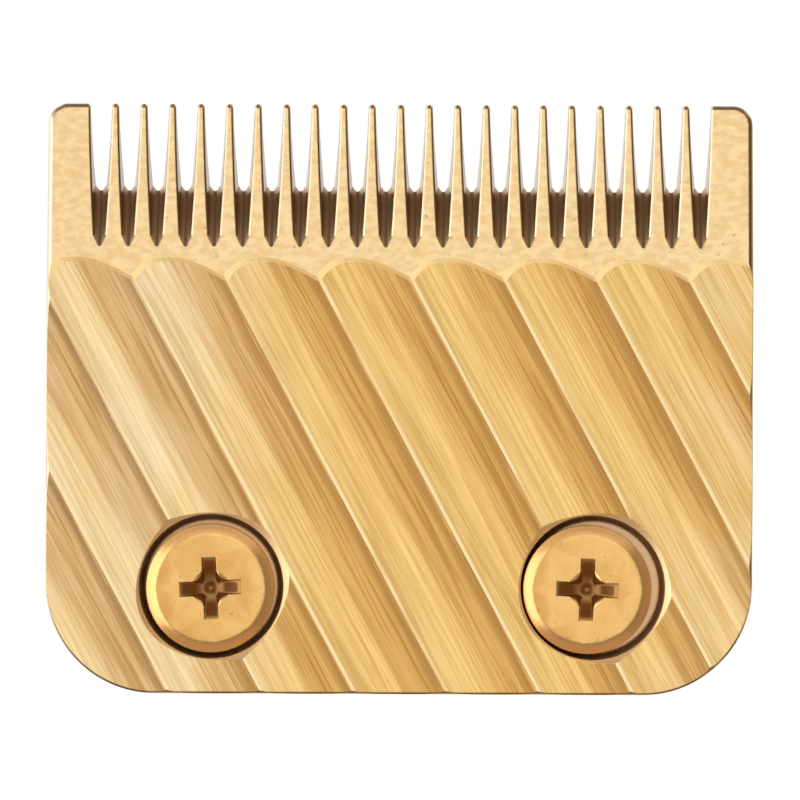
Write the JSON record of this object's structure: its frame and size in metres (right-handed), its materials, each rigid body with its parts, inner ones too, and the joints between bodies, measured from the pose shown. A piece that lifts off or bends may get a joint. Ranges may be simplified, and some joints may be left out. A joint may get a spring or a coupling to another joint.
{
  "type": "hair clipper blade",
  "caption": "Fixed hair clipper blade: tapered gold-coated steel plate with a comb of slim teeth, diagonal flutes on its skin face and cross-recessed screws in counterbores.",
  "frame": {"origin": "midway between the two screws, on the flat seat of the back", "axes": "+X along the tooth row, +Y from the heel to the tooth tips, +Z from the seat to the skin face"},
  "size_m": [0.045, 0.0376, 0.0072],
  "materials": {
    "blade_coat": "gold-coloured coat over ground steel, brushed along the flutes",
    "screw_coat": "gold-coloured coat, satin"
  },
  "bodies": {
    "root": {"fixed_blade": "blade_coat", "blade_screws": "screw_coat"}
  },
  "joints": []
}
